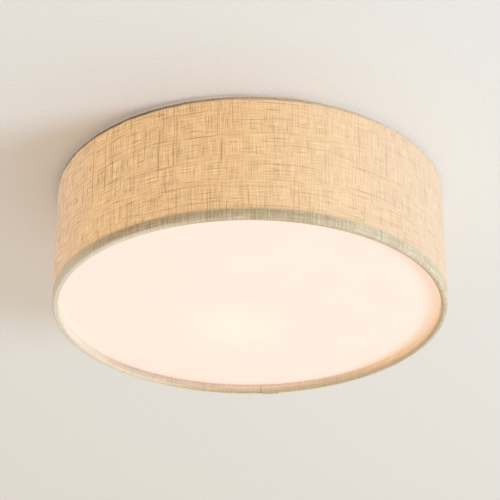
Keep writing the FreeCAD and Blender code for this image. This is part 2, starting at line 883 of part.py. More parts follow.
def bulb_insulator():
    """The black glass cone between the cap and the centre contact."""
    reach = insulator_r - fit_gap
    cone = turned(
        (0, contact_h),
        (contact_r + fit_gap, contact_h),
        (reach, cap_start_x),
        (reach, cap_start_x + cap_wall),
        (0, cap_start_x + cap_wall),
    )
    return along_lamp(cone)


def bulb_contact():
    """The domed solder contact at the end of the cap."""
    dome = turned((0, 0), (contact_bulge_r, contact_bulge_h, contact_r, contact_h), (0, contact_h))
    return along_lamp(dome)


def bulb_led_board():
    """The round board with its light-emitting chips, under the dome."""
    low = junction_x + led_board_gap
    board = rod(led_board_r, Vec(0, 0, low), Z_AXIS, led_board_t)
    for i in range(led_count):
        chip = block(
            led_ring_r - led_w / 2,
            led_ring_r + led_w / 2,
            -led_w / 2,
            led_w / 2,
            low + led_board_t,
            low + led_board_t + led_h,
        )
        board = board.fuse(turn_z(chip, 360 / led_count * i))
    return along_lamp(board)


# ---------------------------------------------------------------- terminal block, leads and clips
def terminal_block():
    """The two-pole nylon block: a tower for each pole, joined by a low web."""
    web_y = block_web_l / 2
    body = block(-block_pole_x, block_pole_x, -web_y, web_y, pan_under_z - block_web_h, pan_under_z)
    for side in (-1, 1):
        x = side * block_pole_x
        tower = block(
            x - block_pole_w / 2,
            x + block_pole_w / 2,
            -block_l / 2,
            block_l / 2,
            block_under_z,
            pan_under_z,
        )
        crest = [e for e in tower.Edges if e.BoundBox.ZMax < pan_under_z - 0.1]
        body = body.fuse(tower.makeFillet(block_round, crest))
    body = body.cut(rod(block_fix_d / 2 + thread_gap, Vec(0, 0, block_under_z), Z_AXIS, block_h))
    for side in (-1, 1):
        x = side * block_pole_x
        body = body.cut(rod(insert_r + thread_gap, Vec(x, -block_l, block_wire_z), Y_AXIS, 2 * block_l))
        for end in (-1, 1):
            start = Vec(x, end * block_screw_y, block_under_z - 1)
            body = body.cut(rod(block_screw_d / 2 + thread_gap, start, Z_AXIS, block_h - block_wire_drop + 1))
    return body


def terminal_inserts():
    """The brass tubes in the block, bored for the wires and drilled for the clamp screws."""
    made = []
    for side in (-1, 1):
        x = side * block_pole_x
        insert = rod(insert_r, Vec(x, -insert_l / 2, block_wire_z), Y_AXIS, insert_l)
        insert = insert.cut(rod(insert_bore_r, Vec(x, -insert_l, block_wire_z), Y_AXIS, 2 * insert_l))
        for end in (-1, 1):
            start = Vec(x, end * block_screw_y, block_under_z)
            insert = insert.cut(rod(block_screw_d / 2 + thread_gap, start, Z_AXIS, block_h - block_wire_drop))
        made.append(insert)
    return Part.makeCompound(made)


def terminal_screws():
    """The four clamp screws of the block. Their tips stop just short of the wires."""
    made = []
    low = block_under_z + block_screw_recess
    length = block_wire_z - lead_r - fit_gap - low
    for side in (-1, 1):
        for end in (-1, 1):
            body = rod(block_screw_d / 2, Vec(side * block_pole_x, end * block_screw_y, low), Z_AXIS, length)
            x0 = side * block_pole_x - block_screw_d
            y0 = end * block_screw_y - grub_slot_w / 2
            cut = block(x0, x0 + 2 * block_screw_d, y0, y0 + grub_slot_w, low - 1, low + grub_slot_depth)
            made.append(body.cut(cut))
    return Part.makeCompound(made)


def terminal_block_screw():
    """The screw that holds the block to the pan, through the middle of its web."""
    head_z = pan_under_z - block_web_h
    length = block_web_h + pan_t + block_fix_tip
    one = screw(block_fix_d / 2, length, block_fix_head_d / 2, block_fix_head_h, ORIGIN)
    one.rotate(ORIGIN, X_AXIS, 180)
    one.translate(Vec(0, 0, head_z))
    return one


def lead_route(pole, bends, terminal):
    """A lead's points: out of the block on its -Y side, along the pan, down into lamp 1's ceramic."""
    x = pole * block_pole_x
    out_y = -block_l / 2
    points = [Vec(x, out_y + lead_in_block, block_wire_z), Vec(x, out_y - lead_out_run, block_wire_z)]
    points += [Vec(bend_x, bend_y, lead_run_z) for bend_x, bend_y in bends]
    turn = in_lamp(terminal_x, terminal * terminal_y, 0)
    turn.z = lead_run_z
    end = in_lamp(terminal_x, terminal * terminal_y, terminal_floor())
    return points + [turn, end]


near_bends = [(-16, -26), (-42, -37)]
far_bends = [(-2, -30), (-18, -46), (-44, -62)]


def lead_clip(route):
    """A saddle over one lead, halfway along the route's longest straight stretch by the pan."""
    flat = [p for p in route if abs(p.z - lead_run_z) < 1e-6]
    runs = list(zip(flat, flat[1:]))
    start, end = max(runs, key=lambda pair: (pair[1] - pair[0]).Length)
    inner = lead_r + clip_gap
    outer = inner + clip_t
    foot = outer + clip_foot
    saddle = outline(
        (-foot, pan_under_z),
        (-inner, pan_under_z),
        (-inner, lead_run_z),
        (0, lead_run_z - inner, inner, lead_run_z),
        (inner, pan_under_z),
        (foot, pan_under_z),
        (foot, pan_under_z - clip_t),
        (outer, pan_under_z - clip_t),
        (outer, lead_run_z),
        (0, lead_run_z - outer, -outer, lead_run_z),
        (-outer, pan_under_z - clip_t),
        (-foot, pan_under_z - clip_t),
    )
    saddle.translate(Vec(0, -clip_l / 2, 0))
    saddle = saddle.extrude(Vec(0, clip_l, 0))
    heading = math.degrees(math.atan2(end.y - start.y, end.x - start.x)) - 90
    saddle = turn_z(saddle, heading)
    middle = start + (end - start) * clip_share
    saddle.translate(Vec(middle.x, middle.y, 0))
    return saddle


# ---------------------------------------------------------------- the assembly
def both(shapes):
    """The pieces of lamp 1 and the same pieces of lamp 2, as one compound."""
    return Part.makeCompound(shapes + [turn_z(s, 180) for s in shapes])


def build():
    near = lead_route(-1, near_bends, 1)
    far = lead_route(1, far_bends, -1)
    near_lead = tube(near, lead_r, arc_share)
    far_lead = tube(far, lead_r, arc_share)
    nodes = {
        "shade_fabric": shade_fabric(),
        "shade_liner": shade_liner(),
        "upper_ring_frame": upper_ring_frame(),
        "lower_ring": lower_ring(),
        "diffuser": diffuser(),
        "ceiling_pan": ceiling_pan(),
        "mounting_strap": mounting_strap(),
        "strap_screws": strap_screws(),
        "pan_nuts": pan_nuts(),
        "shade_studs": shade_studs(),
        "cable_grommet": cable_grommet(),
        "earth_terminal": earth_terminal(),
        "bracket_rivets": both(bracket_rivet_pair()),
        "lampholder_screws": both(lampholder_screw_pair()),
        "lampholder_clamp_screws": both(lampholder_clamp_pair()),
        "terminal_block": terminal_block(),
        "terminal_inserts": terminal_inserts(),
        "terminal_screws": terminal_screws(),
        "terminal_block_screw": terminal_block_screw(),
        "live_lead_1": near_lead,
        "neutral_lead_1": far_lead,
        "neutral_lead_2": turn_z(near_lead, 180),
        "live_lead_2": turn_z(far_lead, 180),
        "lead_clips": both([lead_clip(near), lead_clip(far)]),
    }
    for i in range(hanger_count):
        nodes[f"thumb_nut_{i + 1}"] = thumb_nut(i)
    paired = {
        "lampholder": lampholder(),
        "lampholder_shell": lampholder_shell(),
        "lampholder_contact": lampholder_contact(),
        "lampholder_bracket": lampholder_bracket(),
        "bulb_globe": bulb_globe(),
        "bulb_body": bulb_body(),
        "bulb_cap": bulb_cap(),
        "bulb_insulator": bulb_insulator(),
        "bulb_contact": bulb_contact(),
        "bulb_led_board": bulb_led_board(),
    }
    for name, shape in paired.items():
        nodes[f"{name}_1"] = shape
        nodes[f"{name}_2"] = turn_z(shape, 180)
    return nodes


os.makedirs("parts", exist_ok=True)
for name, shape in build().items():
    shape.exportStep(f"parts/{name}.step")
    print(name, "solids", len(shape.Solids), "valid", shape.isValid(), "volume", round(shape.Volume, 1))
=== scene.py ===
"""The looks of a lit drum ceiling light: linen shade, opal diffuser, steel pan, lamps and their fittings.

Everything is in metres, in the frame of the solids: Z = 0 is the ceiling and the light hangs below it.
"""

import math

import bmesh
import bpy
import numpy as np
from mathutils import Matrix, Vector


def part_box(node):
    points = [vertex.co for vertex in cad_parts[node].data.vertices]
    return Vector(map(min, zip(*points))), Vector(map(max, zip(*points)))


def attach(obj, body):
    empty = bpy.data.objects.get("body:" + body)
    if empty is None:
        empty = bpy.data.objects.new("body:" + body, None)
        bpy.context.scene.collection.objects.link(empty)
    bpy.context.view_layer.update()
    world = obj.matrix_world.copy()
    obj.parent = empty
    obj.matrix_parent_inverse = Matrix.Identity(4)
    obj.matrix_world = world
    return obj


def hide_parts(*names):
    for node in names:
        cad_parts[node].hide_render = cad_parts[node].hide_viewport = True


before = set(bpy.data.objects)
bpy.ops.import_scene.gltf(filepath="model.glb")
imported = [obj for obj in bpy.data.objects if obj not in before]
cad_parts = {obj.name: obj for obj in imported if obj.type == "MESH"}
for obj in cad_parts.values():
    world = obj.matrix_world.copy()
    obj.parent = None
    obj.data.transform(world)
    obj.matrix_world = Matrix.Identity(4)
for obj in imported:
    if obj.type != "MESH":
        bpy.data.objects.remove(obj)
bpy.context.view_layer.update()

MM = 0.001
TURN = 2 * math.pi

# ---------------------------------------------------------------- camera, from a fit of the shade's outline
camera_distance = 1.921
camera_below_deg = 29.77
camera_aim_deg = 28.27
camera_lens = 139.03
camera_sensor = 36.0

# ---------------------------------------------------------------- light
room_colour = (0.80, 0.72, 0.63)
room_strength = 0.85
ceiling_reach = 8.0
ceiling_lift = 0.2 * MM
soft_lamps = [
    # name, azimuth and degrees below the ceiling, distance, size, power, colour
    ("window", -24.0, 30.0, 3.2, 1.15, 61.0, (0.57, 0.79, 1.0)),
    ("far_wall", 48.0, 60.0, 4.3, 4.5, 24.0, (0.95, 1.0, 0.88)),
]

# ---------------------------------------------------------------- linen
linen_t = 0.8 * MM
glue_gap = 0.1 * MM
wire_r = 1.75 * MM
ring_round = 1.5 * MM
tuck_deg = 230.0
notch_from_deg = 115.0
notch_half_w = 2.6 * MM
arm_count = 3
lap_w = 14.0 * MM
lap_ramp = 8.0 * MM
lap_edge_deg = 86.1
turns_around = 720
roll_steps = 18
wall_steps = 14
fold_steps = 5
edge_slack = 0.12 * MM
thread_pitch = 0.8 * MM
tone_low, tone_high = 0.38, 0.62
slub_kinds = [
    # noise scales across and along the thread, and the noise where a slub starts and is full
    (820.0, 10.0, 0.665, 0.71),
    (820.0, 38.0, 0.67, 0.73),
]
lip_glow = [
    # share of the way across the shade from -X to +X, and the painted light that the hem's inner face throws
    # back from the diffuser
    (0.00, (0.070, 0.050, 0.050)),
    (0.20, (0.040, 0.085, 0.140)),
    (0.37, (0.110, 0.085, 0.105)),
    (0.50, (0.240, 0.190, 0.160)),
    (0.74, (0.095, 0.095, 0.070)),
    (0.93, (0.290, 0.185, 0.115)),
]
linen_glow = [
    # the same share, and the painted glow of the lamps' light that comes through the wall, whiter towards +X
    # where it also stands in for daylight
    (0.00, (0.450, 0.310, 0.220)),
    (0.12, (0.498, 0.296, 0.143)),
    (0.22, (0.485, 0.282, 0.132)),
    (0.48, (0.495, 0.285, 0.130)),
    (0.70, (0.521, 0.352, 0.213)),
    (0.88, (0.485, 0.349, 0.260)),
    (1.00, (0.473, 0.367, 0.310)),
]

# ---------------------------------------------------------------- screw caps and their shells
cap_pitch = 3.629 * MM
cap_groove = 0.9 * MM
shell_groove = 0.35 * MM
sheet_t = 0.3 * MM
thread_columns = 96
thread_rows_a_turn = 10

# ---------------------------------------------------------------- diffuser
glow_spots = [
    # x and y of a bulb's painted bright spot, its colour on the screen, and its share
    ((-0.015, 0.048), (193, 169, 148), 1.0),
    ((0.016, -0.083), (193, 161, 144), 0.6),
]
glow_spot_r = 42 * MM
# the way, from +X, towards which the diffuser's rim carries painted shade
rim_shade_deg = 15.0


# ---------------------------------------------------------------- material graph helpers
class Graph:
    """A material's node tree, with short calls that add nodes and link them."""

    def __init__(self, name):
        self.material = bpy.data.materials.new(name)
        self.material.use_nodes = True
        self.tree = self.material.node_tree
        self.shader = self.tree.nodes["Principled BSDF"]

    def put(self, socket, value):
        """Sets a socket to a number or colour, or links an output to it."""
        if isinstance(value, bpy.types.NodeSocket):
            self.tree.links.new(value, socket)
        else:
            socket.default_value = value

    def add(self, kind, inputs=None, **settings):
        node = self.tree.nodes.new(kind)
        for key, value in settings.items():
            setattr(node, key, value)
        for key, value in (inputs or {}).items():
            self.put(node.inputs[key], value)
        return node

    def calc(self, operation, a, b=0.5):
        return self.add("ShaderNodeMath", {0: a, 1: b}, operation=operation).outputs[0]

    def product(self, first, *others):
        for other in others:
            first = self.calc("MULTIPLY", first, other)
        return first

    def remap(self, value, low, high, out_low=0.0, out_high=1.0, kind="LINEAR"):
        sockets = {"Value": value, "From Min": low, "From Max": high, "To Min": out_low, "To Max": out_high}
        return self.add("ShaderNodeMapRange", sockets, interpolation_type=kind).outputs["Result"]

    def smooth(self, value, low, high):
        """0 at low, 1 at high, with a smooth step between them."""
        return self.remap(value, low, high, kind="SMOOTHSTEP")

    def mix(self, factor, a, b):
        node = self.add("ShaderNodeMix", data_type="RGBA")
        for socket, value in zip((node.inputs[0], node.inputs[6], node.inputs[7]), (factor, a, b)):
            self.put(socket, value)
        return node.outputs[2]

    def noise(self, vector, scale, detail=2.0, roughness=0.5):
        sockets = {"Vector": vector, "Scale": scale, "Detail": detail, "Roughness": roughness}
        return self.add("ShaderNodeTexNoise", sockets).outputs["Fac"]

    def streaks(self, vector, x, y, z=1.0, detail=1.0):
        """Noise drawn out along the axes that have the smaller scales."""
        stretched = self.add("ShaderNodeVectorMath", {0: vector, 1: (x, y, z)}, operation="MULTIPLY")
        return self.noise(stretched.outputs["Vector"], 1.0, detail)

    def place(self):
        """The point in the object's own coordinates, which are those of the solids, in metres."""
        return self.add("ShaderNodeTexCoord").outputs["Object"]

    def parts(self, vector):
        node = self.add("ShaderNodeSeparateXYZ", {"Vector": vector})
        return node.outputs["X"], node.outputs["Y"], node.outputs["Z"]

    def distance(self, vector, point):
        return self.add("ShaderNodeVectorMath", {0: vector, 1: point}, operation="DISTANCE").outputs["Value"]

    def ramp(self, value, stops):
        """A colour ramp with (position, (r, g, b)) stops."""
        node = self.add("ShaderNodeValToRGB", {"Fac": value})
        elements = node.color_ramp.elements
        while len(elements) < len(stops):
            elements.new(0.5)
        for element, (position, colour) in zip(elements, stops):
            element.position = position
            element.color = (*colour, 1)
        return node.outputs["Color"]

    def bump(self, height, depth, strength=1.0):
        sockets = {"Height": height, "Distance": depth, "Strength": strength}
        self.put(self.shader.inputs["Normal"], self.add("ShaderNodeBump", sockets).outputs["Normal"])

    def set(self, **values):
        for key, value in values.items():
            self.put(self.shader.inputs[key.replace("_", " ")], value)
        return self.material

    def quiet_glow(self):
        """The glow is seen and lights what is near it, without being sampled as a lamp."""
        self.material.cycles.emission_sampling = "NONE"
        return self.material


def rgb(red, green, blue):
    """A colour as it shows on a screen, 0 to 255, as the linear colour that nodes take."""

    def linear(value):
        value = value / 255
        return value / 12.92 if value <= 0.04045 else ((value + 0.055) / 1.055) ** 2.4

    return (linear(red), linear(green), linear(blue), 1.0)


# ---------------------------------------------------------------- linen material
dark_thread = rgb(184, 160, 124)
light_thread = rgb(236, 217, 184)
slub_thread = rgb(146, 126, 96)
# a separate, darker copy of the linen's colour for where the lamps shine through, with painted shade on the
# thick threads
lit_light_thread = rgb(186, 168, 138)
lit_dark_thread = rgb(156, 130, 96)
lit_slub_thread = rgb(124, 88, 52)
knot_thread = rgb(112, 92, 64)
hem_shade = rgb(112, 90, 58)
roll_shade = rgb(112, 94, 70)
inner_hem_shade = rgb(150, 134, 110)
daylight = rgb(252, 243, 228)


def weave(graph):
    """Plain linen weave in the cloth's own metres: u runs round the shade and v down it.

    Returns the threads' height, their uneven tone, and where slubs and knots thicken them.
    """
    cloth = graph.add("ShaderNodeUVMap", uv_map="cloth").outputs["UV"]
    along, down, _ = graph.parts(cloth)
    wander = graph.product(graph.noise(cloth, 140.0, 1.0), 1.6 * MM)
    ribs = []
    for axis in (along, down):
        wave = graph.product(graph.calc("ADD", axis, wander), TURN / (2 * thread_pitch))
        ribs.append(graph.calc("ABSOLUTE", graph.calc("SINE", wave)))
    height = graph.product(graph.calc("ADD", *ribs), 0.5)
    tones = 0.0
    for share, scales in ((0.38, (1000.0, 42.0)), (0.34, (50.0, 1000.0)), (0.28, (1300.0, 1300.0))):
        tones = graph.calc("ADD", tones, graph.product(graph.streaks(cloth, *scales, detail=1.5), share))
    slub = 0.0
    for across, length, low, high in slub_kinds:
        for scales in ((across, length), (length, across)):
            thick = graph.smooth(graph.streaks(cloth, *scales), low, high)
            slub = graph.calc("MAXIMUM", slub, thick)
    knot = graph.smooth(graph.noise(cloth, 900.0, 1.0), 0.62, 0.74)
    return height, tones, slub, knot


class LinenLook:
    """Natural linen. Between roll and hem the lamps' light through it is a painted glow, against which its
    thick threads show darker.

    Painted daylight evens the threads out towards the window, and a painted glow stands for the diffuser's
    light on the inner face of the hem. The roll and the hem carry painted shade.
    """

    def __init__(self):
        graph = self.graph = Graph("linen_cloth")
        self.height, self.tone, self.slub, self.knot = weave(graph)
        self.weight = graph.remap(self.tone, tone_low, tone_high)
        self.x, y, self.z = graph.parts(graph.place())
        ragged = graph.product(graph.calc("SUBTRACT", graph.noise(graph.place(), 70.0, 2.0), 0.5), 2.4 * MM)
        self.level = graph.calc("ADD", self.z, ragged)
        flat = graph.add("ShaderNodeCombineXYZ", {"X": self.x, "Y": y}).outputs[0]
        self.radius = graph.distance(flat, (0, 0, 0))
        self.disc_low, self.disc_high = (corner.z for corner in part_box("diffuser"))
        self.ring_low, self.ring_high = (corner.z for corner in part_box("lower_ring"))
        self.ring_r = nearest_radius("lower_ring")
        self.wall_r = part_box("shade_fabric")[1].x
        self.wire_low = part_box("shade_fabric")[1].z - linen_t - glue_gap - 2 * wire_r

    def lit(self):
        """1 on the wall, between the diffuser and the upper wire, where the lamps shine through."""
        above = self.graph.smooth(self.z, self.disc_low - 0.8 * MM, self.disc_high + 1.6 * MM)
        below = self.graph.smooth(self.level, self.wire_low + 1.6 * MM, self.wire_low - 1.0 * MM)
        return self.graph.product(above, below)

    def painted_daylight(self, roll):
        """How far painted daylight pales the unlit linen: on the hem by the -X end, and on the window's side.
        """
        graph = self.graph
        end = graph.smooth(self.x, -0.12, -0.185)
        foot = graph.smooth(self.z, self.ring_low + MM, self.ring_low)
        foot = graph.product(foot, graph.smooth(self.x, -0.02, -0.12))
        hem = graph.smooth(self.z, self.disc_high, self.disc_low)
        hem = graph.product(graph.calc("MAXIMUM", end, foot), hem, 0.6)
        window = graph.product(graph.smooth(self.x, 0.0, 0.17), graph.remap(roll, 0.0, 1.0, 0.14, 0.34))
        return graph.calc("MAXIMUM", hem, window)

    def unlit_colour(self):
        """The roll and the hem, which only the room lights, with painted daylight and painted shade on them.
        """
        graph = self.graph
        colour = graph.mix(self.weight, dark_thread, light_thread)
        colour = graph.mix(graph.product(self.slub, 0.5), colour, slub_thread)
        # painted shade: the hem darker towards its top, most towards -X
        hem_top_shade = graph.smooth(self.level, self.ring_low + 1.5 * MM, self.ring_high - 1.0 * MM)
        hem_top_shade = graph.product(hem_top_shade, graph.remap(self.x, 0.03, 0.10, 0.20, 0.04))
        colour = graph.mix(hem_top_shade, colour, hem_shade)
        roll = graph.smooth(self.level, self.wire_low, self.wire_low + 1.6 * MM)
        colour = graph.mix(self.painted_daylight(roll), colour, daylight)
        # painted shade: the roll darker towards -X, away from the window
        shaded = graph.remap(self.x, -0.12, 0.0, 0.85, 0.05)
        return graph.mix(graph.product(roll, shaded), colour, roll_shade)

    def base_colour(self, lit):
        graph = self.graph
        # where the lamps shine through: a darker copy of the linen, with painted shade on the thick threads
        through = graph.mix(self.weight, lit_light_thread, lit_dark_thread)
        through = graph.mix(graph.product(self.slub, 0.7), through, lit_slub_thread)
        base = graph.mix(lit, self.unlit_colour(), through)
        base = graph.mix(graph.product(self.knot, 0.35), base, knot_thread)
        # painted shade on the hem's inner face, darker towards its bottom and towards +X
        under = graph.smooth(self.z, self.disc_low - 2.5 * MM, self.ring_low)
        under = graph.product(under, graph.smooth(self.radius, self.ring_r + 3 * MM, self.ring_r))
        under = graph.product(under, graph.remap(self.x, -0.12, 0.0, 0.18, 0.45))
        return graph.mix(under, base, inner_hem_shade)

    def passed_light(self):
        """How much of the lamps' painted glow the threads let through. They show less towards the window,
        where daylight evens them out.
        """
        graph = self.graph
        thin = graph.remap(self.tone, tone_low, tone_high, 1.34, 0.66)
        threads = graph.remap(self.height, 0.1, 1.0, 1.12, 0.92)
        thick = graph.remap(self.slub, 0.0, 1.0, 1.0, 0.42)
        knots = graph.remap(self.knot, 0.0, 1.0, 1.04, 0.70)
        uneven = graph.calc("SUBTRACT", graph.product(thin, threads, thick, knots), 1.0)
        contrast = graph.remap(self.x, -0.08, 0.09, 1.06, 0.28)
        return graph.calc("MAXIMUM", graph.calc("ADD", graph.product(uneven, contrast), 1.0), 0.1)

    def inner_hem(self):
        """How much painted light from the diffuser falls on the hem's inner face, most at the top."""
        graph = self.graph
        inside = graph.smooth(self.radius, self.ring_r + 0.6 * MM, self.ring_r)
        below = graph.smooth(self.z, self.disc_low - 0.4 * MM, self.disc_low - 2.2 * MM)
        return graph.product(inside, below, graph.remap(self.z, self.ring_low, self.ring_high, 0.3, 1.6))

    def material(self):
        graph = self.graph
        lit, inside = self.lit(), self.inner_hem()
        relief = graph.calc("ADD", graph.product(self.height, 0.6), graph.product(self.slub, 0.8))
        graph.bump(relief, 0.11 * MM, 0.9)
        graph.set(Base_Color=self.base_colour(lit), Roughness=0.92, Specular_IOR_Level=0.15)
        graph.set(Sheen_Weight=0.12, Sheen_Roughness=0.5)
        # painted glow: the lamps' light through the wall, and the diffuser's light on the hem's inner face
        across = graph.remap(self.x, -self.wall_r, self.wall_r)
        glow = graph.mix(inside, graph.ramp(across, linen_glow), graph.ramp(across, lip_glow))
        strength = graph.calc("ADD", graph.product(self.passed_light(), lit), inside)
        graph.set(Emission_Color=glow, Emission_Strength=strength)
        return graph.quiet_glow()


# ---------------------------------------------------------------- linen mesh
def arc(centre, radius, first_deg, last_deg, steps):
    """Points round a circle in (r, z), each with its outward normal."""
    found = []
    for i in range(steps + 1):
        angle = math.radians(first_deg + (last_deg - first_deg) * i / steps)
        normal = (math.cos(angle), math.sin(angle))
        found.append(((centre[0] + radius * normal[0], centre[1] + radius * normal[1]), normal))
    return found


def run(start, end, normal, steps):
    """Points between two ends in (r, z), without the ends, all with one normal."""
    found = []
    for i in range(1, steps):
        share = i / steps
        point = (start[0] + (end[0] - start[0]) * share, start[1] + (end[1] - start[1]) * share)
        found.append((point, normal))
    return found


def nearest_radius(node):
    """The least distance from the Z axis to a node's vertices."""
    return min(math.hypot(v.co.x, v.co.y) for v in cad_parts[node].data.vertices)


def cloth_section():
    """The linen's outer face in (r, z): tucked under the upper wire, over it, down and round the ring."""
    low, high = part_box("shade_fabric")
    ring_low, ring_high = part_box("lower_ring")
    wall_r = high.x
    roll_r = wire_r + glue_gap + linen_t
    roll = (wall_r - roll_r, high.z - roll_r)
    fold = ring_round + glue_gap + linen_t
    ring_x = nearest_radius("lower_ring") + ring_round
    foot = ring_low.z + ring_round
    head = ring_high.z - ring_round
    points = arc(roll, roll_r, tuck_deg, 0, roll_steps)
    points += run((wall_r, roll[1]), (wall_r, foot), (1, 0), wall_steps)
    points += arc((wall_r - fold, foot), fold, 0, -90, fold_steps)
    points += arc((ring_x, foot), fold, 270, 180, fold_steps)
    points += run((ring_x - fold, foot), (ring_x - fold, head), (-1, 0), 3)
    points += arc((ring_x, head), fold, 180, 90, fold_steps)
    points.append(((ring_x + 1.0 * MM, head + fold), (0, 1)))
    return points


def ripple(angle, share):
    """How far a hand-rolled edge stands off its smooth line, from -1 to 1."""
    waves = ((23, 0.3, 0.5), (57, 1.7, 0.3), (131, 4.1, 0.2))
    return sum(size * math.sin(count * angle + phase + 2.2 * share) for count, phase, size in waves)


class LinenSkin:
    """The linen as one closed sheet with two faces, whose last stretch laps over its first."""

    def __init__(self):
        self.section = cloth_section()
        self.rows = len(self.section)
        self.wall_r = self.section[roll_steps][0][0]
        self.total = TURN + lap_w / self.wall_r
        self.columns = round(turns_around * self.total / TURN)
        self.notch_row = round(roll_steps * (tuck_deg - notch_from_deg) / tuck_deg)
        self.lap_row = self.rows - fold_steps - 2
        self.lengths = [0.0]
        for (a, _), (b, _) in zip(self.section, self.section[1:]):
            self.lengths.append(self.lengths[-1] + math.hypot(b[0] - a[0], b[1] - a[1]))

    def turn(self, column):
        return self.total * column / self.columns

    def angle(self, column):
        """The sheet ends, with its cut edge showing, at the lap's edge."""
        return math.radians(lap_edge_deg) - self.total + self.turn(column)

    def has_cell(self, i, j):
        """No cells where an arm comes through the roll, or where the lap would lift the diffuser."""
        if not (0 <= i < self.columns and 0 <= j < self.rows - 1):
            return False
        pitch = TURN / arm_count
        from_arm = abs((self.angle(i + 0.5) + pitch / 2) % pitch - pitch / 2) * self.wall_r
        in_notch = from_arm < notch_half_w and j < self.notch_row
        lifted = self.turn(i + 0.5) > TURN - lap_ramp / self.wall_r and j >= self.lap_row
        return not (in_notch or lifted)

    def points(self):
        found = []
        ramp = lap_ramp / self.wall_r
        for column in range(self.columns + 1):
            share = min(max((self.turn(column) - TURN + ramp) / ramp, 0.0), 1.0)
            lift = (linen_t + glue_gap) * share * share * (3 - 2 * share)
            angle = self.angle(column)
            for layer in (0.0, linen_t):
                for row, ((r, z), normal) in enumerate(self.section):
                    loose = edge_slack * ripple(angle, row / self.rows) if row < roll_steps else 0.0
                    shift = lift - layer + loose
                    far = r + normal[0] * shift
                    found.append((far * math.cos(angle), far * math.sin(angle), z + normal[1] * shift))
        return found

    def cloth_map(self):
        found = []
        for column in range(self.columns + 1):
            along = self.turn(column) * self.wall_r
            found += [(along, length) for length in self.lengths] * 2
        return found

    def faces(self):
        def at(column, layer, row):
            return (column * 2 + layer) * self.rows + row

        found = []
        for i in range(self.columns):
            for j in range(self.rows - 1):
                if not self.has_cell(i, j):
                    continue
                corners = ((i, j), (i, j + 1), (i + 1, j + 1), (i + 1, j))
                neighbours = ((i - 1, j), (i, j + 1), (i + 1, j), (i, j - 1))
                found.append([at(c, 0, r) for c, r in corners])
                found.append([at(c, 1, r) for c, r in reversed(corners)])
                for k, neighbour in enumerate(neighbours):
                    if not self.has_cell(*neighbour):
                        (c0, r0), (c1, r1) = corners[k], corners[(k + 1) % 4]
                        found.append([at(c1, 0, r1), at(c0, 0, r0), at(c0, 1, r0), at(c1, 1, r1)])
        return found


def mesh_piece(name, points, faces, material, cloth=None):
    """A smooth mesh object, with an optional map of metres along and down the cloth."""
    mesh = bpy.data.meshes.new(name)
    mesh.from_pydata(points, [], faces)
    mesh.materials.append(material)
    if cloth:
        layer = mesh.uv_layers.new(name="cloth")
        corners = np.zeros(len(mesh.loops), np.int32)
        mesh.loops.foreach_get("vertex_index", corners)
        layer.data.foreach_set("uv", np.array(cloth, np.float32)[corners].ravel())
    tidy = bmesh.new()
    tidy.from_mesh(mesh)
    bmesh.ops.delete(tidy, geom=[v for v in tidy.verts if not v.link_faces], context="VERTS")
    tidy.to_mesh(mesh)
    tidy.free()
    mesh.shade_smooth()
    mesh.set_sharp_from_angle(angle=math.radians(40))
    piece = bpy.data.objects.new(name, mesh)
    bpy.context.scene.collection.objects.link(piece)
    return piece


def linen_shade():
    skin = LinenSkin()
    material = LinenLook().material()
    piece = mesh_piece("linen_shade", skin.points(), skin.faces(), material, skin.cloth_map())
    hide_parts("shade_fabric")
    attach(piece, "shade")


# ---------------------------------------------------------------- threaded caps and shells
def thread_groove(turns):
    """How deep a rounded thread is at a place along it in turns: 0 on the crest and 1 in the groove."""
    return 0.5 - 0.5 * math.cos(TURN * turns)


def lamp_frame(lamp):
    """The end of a lamp's cap, the middle of its axis, and the way it points, which differs for each lamp."""
    low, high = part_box(f"bulb_cap_{lamp}")
    side = 1 if lamp == 1 else -1
    return (low.x if side == 1 else high.x), (low + high) / 2, side


def filled_profile(profile):
    """The profile with rows added between its points, close enough to draw the thread."""
    rows = []
    for start, end in zip(profile, profile[1:]):
        steps = max(1, round(abs(end[0] - start[0]) / cap_pitch * thread_rows_a_turn))
        rows += [tuple(a + (b - a) * i / steps for a, b in zip(start, end)) for i in range(steps)]
    return rows + [profile[-1]]


def sleeve_faces(rows):
    """Faces of a sleeve: its outer face, its inner face and its two end rims."""

    def at(layer, row, k):
        return (layer * rows + row) * thread_columns + k % thread_columns

    faces = []
    last = rows - 1
    for k in range(thread_columns):
        for j in range(last):
            faces.append([at(0, j, k), at(0, j, k + 1), at(0, j + 1, k + 1), at(0, j + 1, k)])
            faces.append([at(1, j, k), at(1, j + 1, k), at(1, j + 1, k + 1), at(1, j, k + 1)])
        faces.append([at(0, 0, k), at(1, 0, k), at(1, 0, k + 1), at(0, 0, k + 1)])
        faces.append([at(0, last, k), at(0, last, k + 1), at(1, last, k + 1), at(1, last, k)])
    return faces


def threaded_sheet(name, profile, groove, lamp, material):
    """A rolled-thread sleeve of thin sheet round a lamp's axis, from (x, radius, share of the thread) points.

    x runs from the end of the lamp's cap, so cap and shell share one thread.
    """
    start, axis, side = lamp_frame(lamp)
    rows = filled_profile(profile)
    points = []
    for layer in (0.0, sheet_t):
        for x, radius, share in rows:
            for k in range(thread_columns):
                depth = groove * share * thread_groove(x / cap_pitch - k / thread_columns)
                far, angle = radius - depth - layer, TURN * k / thread_columns
                across, up = far * math.cos(angle), far * math.sin(angle)
                points.append((start + side * x, axis.y + side * across, axis.z + up))
    return mesh_piece(name, points, sleeve_faces(len(rows)), material)


